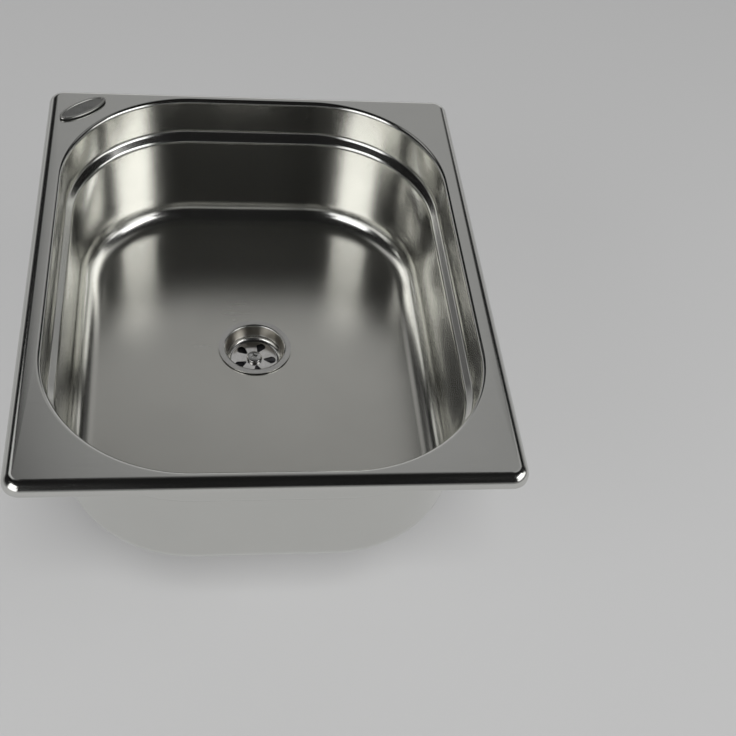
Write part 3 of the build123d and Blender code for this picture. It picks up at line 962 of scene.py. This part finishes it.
def makeStage():
    clearPicks()
    s = stageSetup
    bpy.ops.mesh.primitive_plane_add(size=s["floorSize"], location=(0, 0, cadLow.z - s["drop"]))
    floor = namePiece("floor")
    finish = bpy.data.materials.new("paleFloor")
    finish.use_nodes = True
    tree = finish.node_tree
    tree.nodes.clear()
    end = addNode(tree, "ShaderNodeOutputMaterial", (600, 0))
    matt = addNode(tree, "ShaderNodeBsdfDiffuse", (-200, 100))
    matt.inputs["Color"].default_value = (*s["floorColour"], 1)
    ray = addNode(tree, "ShaderNodeLightPath", (-800, -100))
    seen = addNode(tree, "ShaderNodeMath", (-600, -100), operation="MAXIMUM")
    tree.links.new(ray.outputs["Is Camera Ray"], seen.inputs[0])
    tree.links.new(ray.outputs["Is Glossy Ray"], seen.inputs[1])
    seenToo = addNode(tree, "ShaderNodeMath", (-420, -100), operation="MAXIMUM")
    tree.links.new(seen.outputs[0], seenToo.inputs[0])
    tree.links.new(ray.outputs["Is Transmission Ray"], seenToo.inputs[1])
    share = addNode(tree, "ShaderNodeMath", (-200, -100), operation="MULTIPLY")
    share.inputs[1].default_value = s["floorGlow"]
    tree.links.new(seenToo.outputs[0], share.inputs[0])
    glow = addNode(tree, "ShaderNodeEmission", (-20, -100))
    tree.links.new(share.outputs[0], glow.inputs["Strength"])
    both = addNode(tree, "ShaderNodeAddShader", (150, 100))
    tree.links.new(matt.outputs[0], both.inputs[0])
    tree.links.new(glow.outputs[0], both.inputs[1])
    # seen from below, the floor is clear
    clear = addNode(tree, "ShaderNodeBsdfTransparent", (150, -250))
    back = addNode(tree, "ShaderNodeNewGeometry", (150, 350))
    sides = addNode(tree, "ShaderNodeMixShader", (380, 0))
    tree.links.new(back.outputs["Backfacing"], sides.inputs[0])
    tree.links.new(both.outputs[0], sides.inputs[1])
    tree.links.new(clear.outputs[0], sides.inputs[2])
    tree.links.new(sides.outputs[0], end.inputs["Surface"])
    wear(floor, finish)


def makeWorld():
    # a dim room with a pale backdrop behind the sink, brightest and widest near the horizon
    s = backdropSetup
    world = bpy.data.worlds.new("studio")
    bpy.context.scene.world = world
    world.use_nodes = True
    tree = world.node_tree
    tree.nodes.clear()
    end = addNode(tree, "ShaderNodeOutputWorld", (700, 0))
    glow = addNode(tree, "ShaderNodeBackground", (500, 0))
    place = addNode(tree, "ShaderNodeTexCoord", (-900, 0))
    split = addNode(tree, "ShaderNodeSeparateXYZ", (-700, 150))
    tree.links.new(place.outputs["Generated"], split.inputs[0])
    level = addNode(tree, "ShaderNodeVectorMath", (-700, -150), operation="MULTIPLY")
    level.inputs[1].default_value = (1, 1, 0)
    tree.links.new(place.outputs["Generated"], level.inputs[0])
    turn = addNode(tree, "ShaderNodeVectorMath", (-520, -150), operation="NORMALIZE")
    tree.links.new(level.outputs[0], turn.inputs[0])
    # a pale band round the horizon, the same for the camera and the steel
    full, none = (math.sin(math.radians(angle)) for angle in s["horizonTop"])
    horizon = addNode(tree, "ShaderNodeMapRange", (-150, 500), interpolation_type="SMOOTHSTEP")
    horizon.inputs["From Min"].default_value = none
    horizon.inputs["From Max"].default_value = full
    horizon.inputs["To Min"].default_value = s["room"]
    horizon.inputs["To Max"].default_value = s["horizonTone"]
    tree.links.new(split.outputs["Z"], horizon.inputs["Value"])
    total = horizon.outputs[0]
    for row, part in enumerate(("low", "mid")):
        # full up to the first angle of each pair, none past the second
        full, none = (math.sin(math.radians(angle)) for angle in s[part + "Top"])
        height = addNode(tree, "ShaderNodeMapRange", (-150, 300 - 400 * row), interpolation_type="SMOOTHSTEP")
        height.inputs["From Min"].default_value = none
        height.inputs["From Max"].default_value = full
        height.inputs["To Max"].default_value = s[part + "Tone"]
        tree.links.new(split.outputs["Z"], height.inputs["Value"])
        none, full = (math.cos(math.radians(angle)) for angle in s[part + "Spread"])
        straight = addNode(tree, "ShaderNodeVectorMath", (-340, 100 - 400 * row), operation="DOT_PRODUCT")
        aside = math.radians(s[part + "Turn"])
        straight.inputs[1].default_value = (math.sin(aside), math.cos(aside), 0)
        tree.links.new(turn.outputs[0], straight.inputs[0])
        behind = addNode(tree, "ShaderNodeMapRange", (-150, 100 - 400 * row), interpolation_type="SMOOTHSTEP")
        behind.inputs["From Min"].default_value = none
        behind.inputs["From Max"].default_value = full
        tree.links.new(straight.outputs["Value"], behind.inputs["Value"])
        sheet = addNode(tree, "ShaderNodeMath", (100 + 180 * row, 0), operation="MULTIPLY_ADD")
        tree.links.new(height.outputs[0], sheet.inputs[0])
        tree.links.new(behind.outputs[0], sheet.inputs[1])
        tree.links.new(total, sheet.inputs[2])
        total = sheet.outputs[0]
    tree.links.new(total, glow.inputs["Strength"])
    tree.links.new(glow.outputs[0], end.inputs["Surface"])


def makeLights():
    for name, s in lightSetup.items():
        light = bpy.data.lights.new(name, "AREA")
        light.shape = "RECTANGLE"
        light.size, light.size_y = s["size"]
        light.energy = s["strength"] * math.pi * s["size"][0] * s["size"][1]
        lamp = bpy.data.objects.new(name, light)
        bpy.context.collection.objects.link(lamp)
        aimAt(lamp, onDome(s["azimuth"], s["height"], s["away"]))
        lamp.visible_camera = False
        lamp.visible_glossy = s["mirrored"]


def makeCamera():
    s = cameraSetup
    camera = bpy.data.cameras.new("camera")
    camera.sensor_width = s["sensor"]
    camera.lens = s["lens"]
    camera.clip_start = s["near"]
    holder = bpy.data.objects.new("camera", camera)
    bpy.context.collection.objects.link(holder)
    holder.matrix_world = (
        Matrix.Translation(s["place"])
        @ Matrix.Rotation(math.radians(s["yaw"]), 4, "Z")
        @ Matrix.Rotation(math.radians(90 - s["pitch"]), 4, "X")
        @ Matrix.Rotation(math.radians(s["roll"]), 4, "Z"))
    bpy.context.scene.camera = holder


basin = makeBasin()
cup = makeCup()
screw = makeScrew()
badge = makeBadge()
gasket = makeGasket()
drainBody = makeBody()
unionNut = makeNut()
hoseTail = makeTail()

grainGroup = makeGrainGroup()
marksGroup = makeMarksGroup()
mouldGroup = makeMouldGroup()
wear(basin, makeSteel("satin", grainGroup, marksGroup))
wear(cup, makeSteel("polished", grainGroup, marksGroup))
# paler plate steel on the strainer's floor: painted sheen
wearPart(cup, makeSteel("plate", grainGroup, marksGroup), onPlate)
wear(screw, makeSteel("screw", grainGroup, marksGroup))
wear(badge, makeSteel("badge", grainGroup, marksGroup))
wearPart(badge, makeSteel("badgeField", grainGroup, marksGroup), onBadgeField)
drainPlastic = makeMoulded("drainPlastic", mouldGroup, marksGroup)
gasketRubber = makeMoulded("gasketRubber", mouldGroup, marksGroup)
for piece in (drainBody, unionNut, hoseTail):
    wear(piece, drainPlastic)
wear(gasket, gasketRubber)
# black rubber on the badge's pad darkens its edge: painted shade
wearPart(badge, gasketRubber, onBadgePad)
nodes = frame["nodes"]
for node, finish in (("flange_gasket", gasketRubber), ("tail_seal", gasketRubber),
                     ("slip_ring", makeMoulded("ringPlastic", mouldGroup, marksGroup)),
                     ("insert_nut", makeBrass(grainGroup, marksGroup))):
    for slot in nodes[node].material_slots:
        slot.material = finish
print("finishes on")

makeStage()
makeWorld()
makeLights()
makeCamera()
bpy.context.scene.view_settings.view_transform = "Standard"
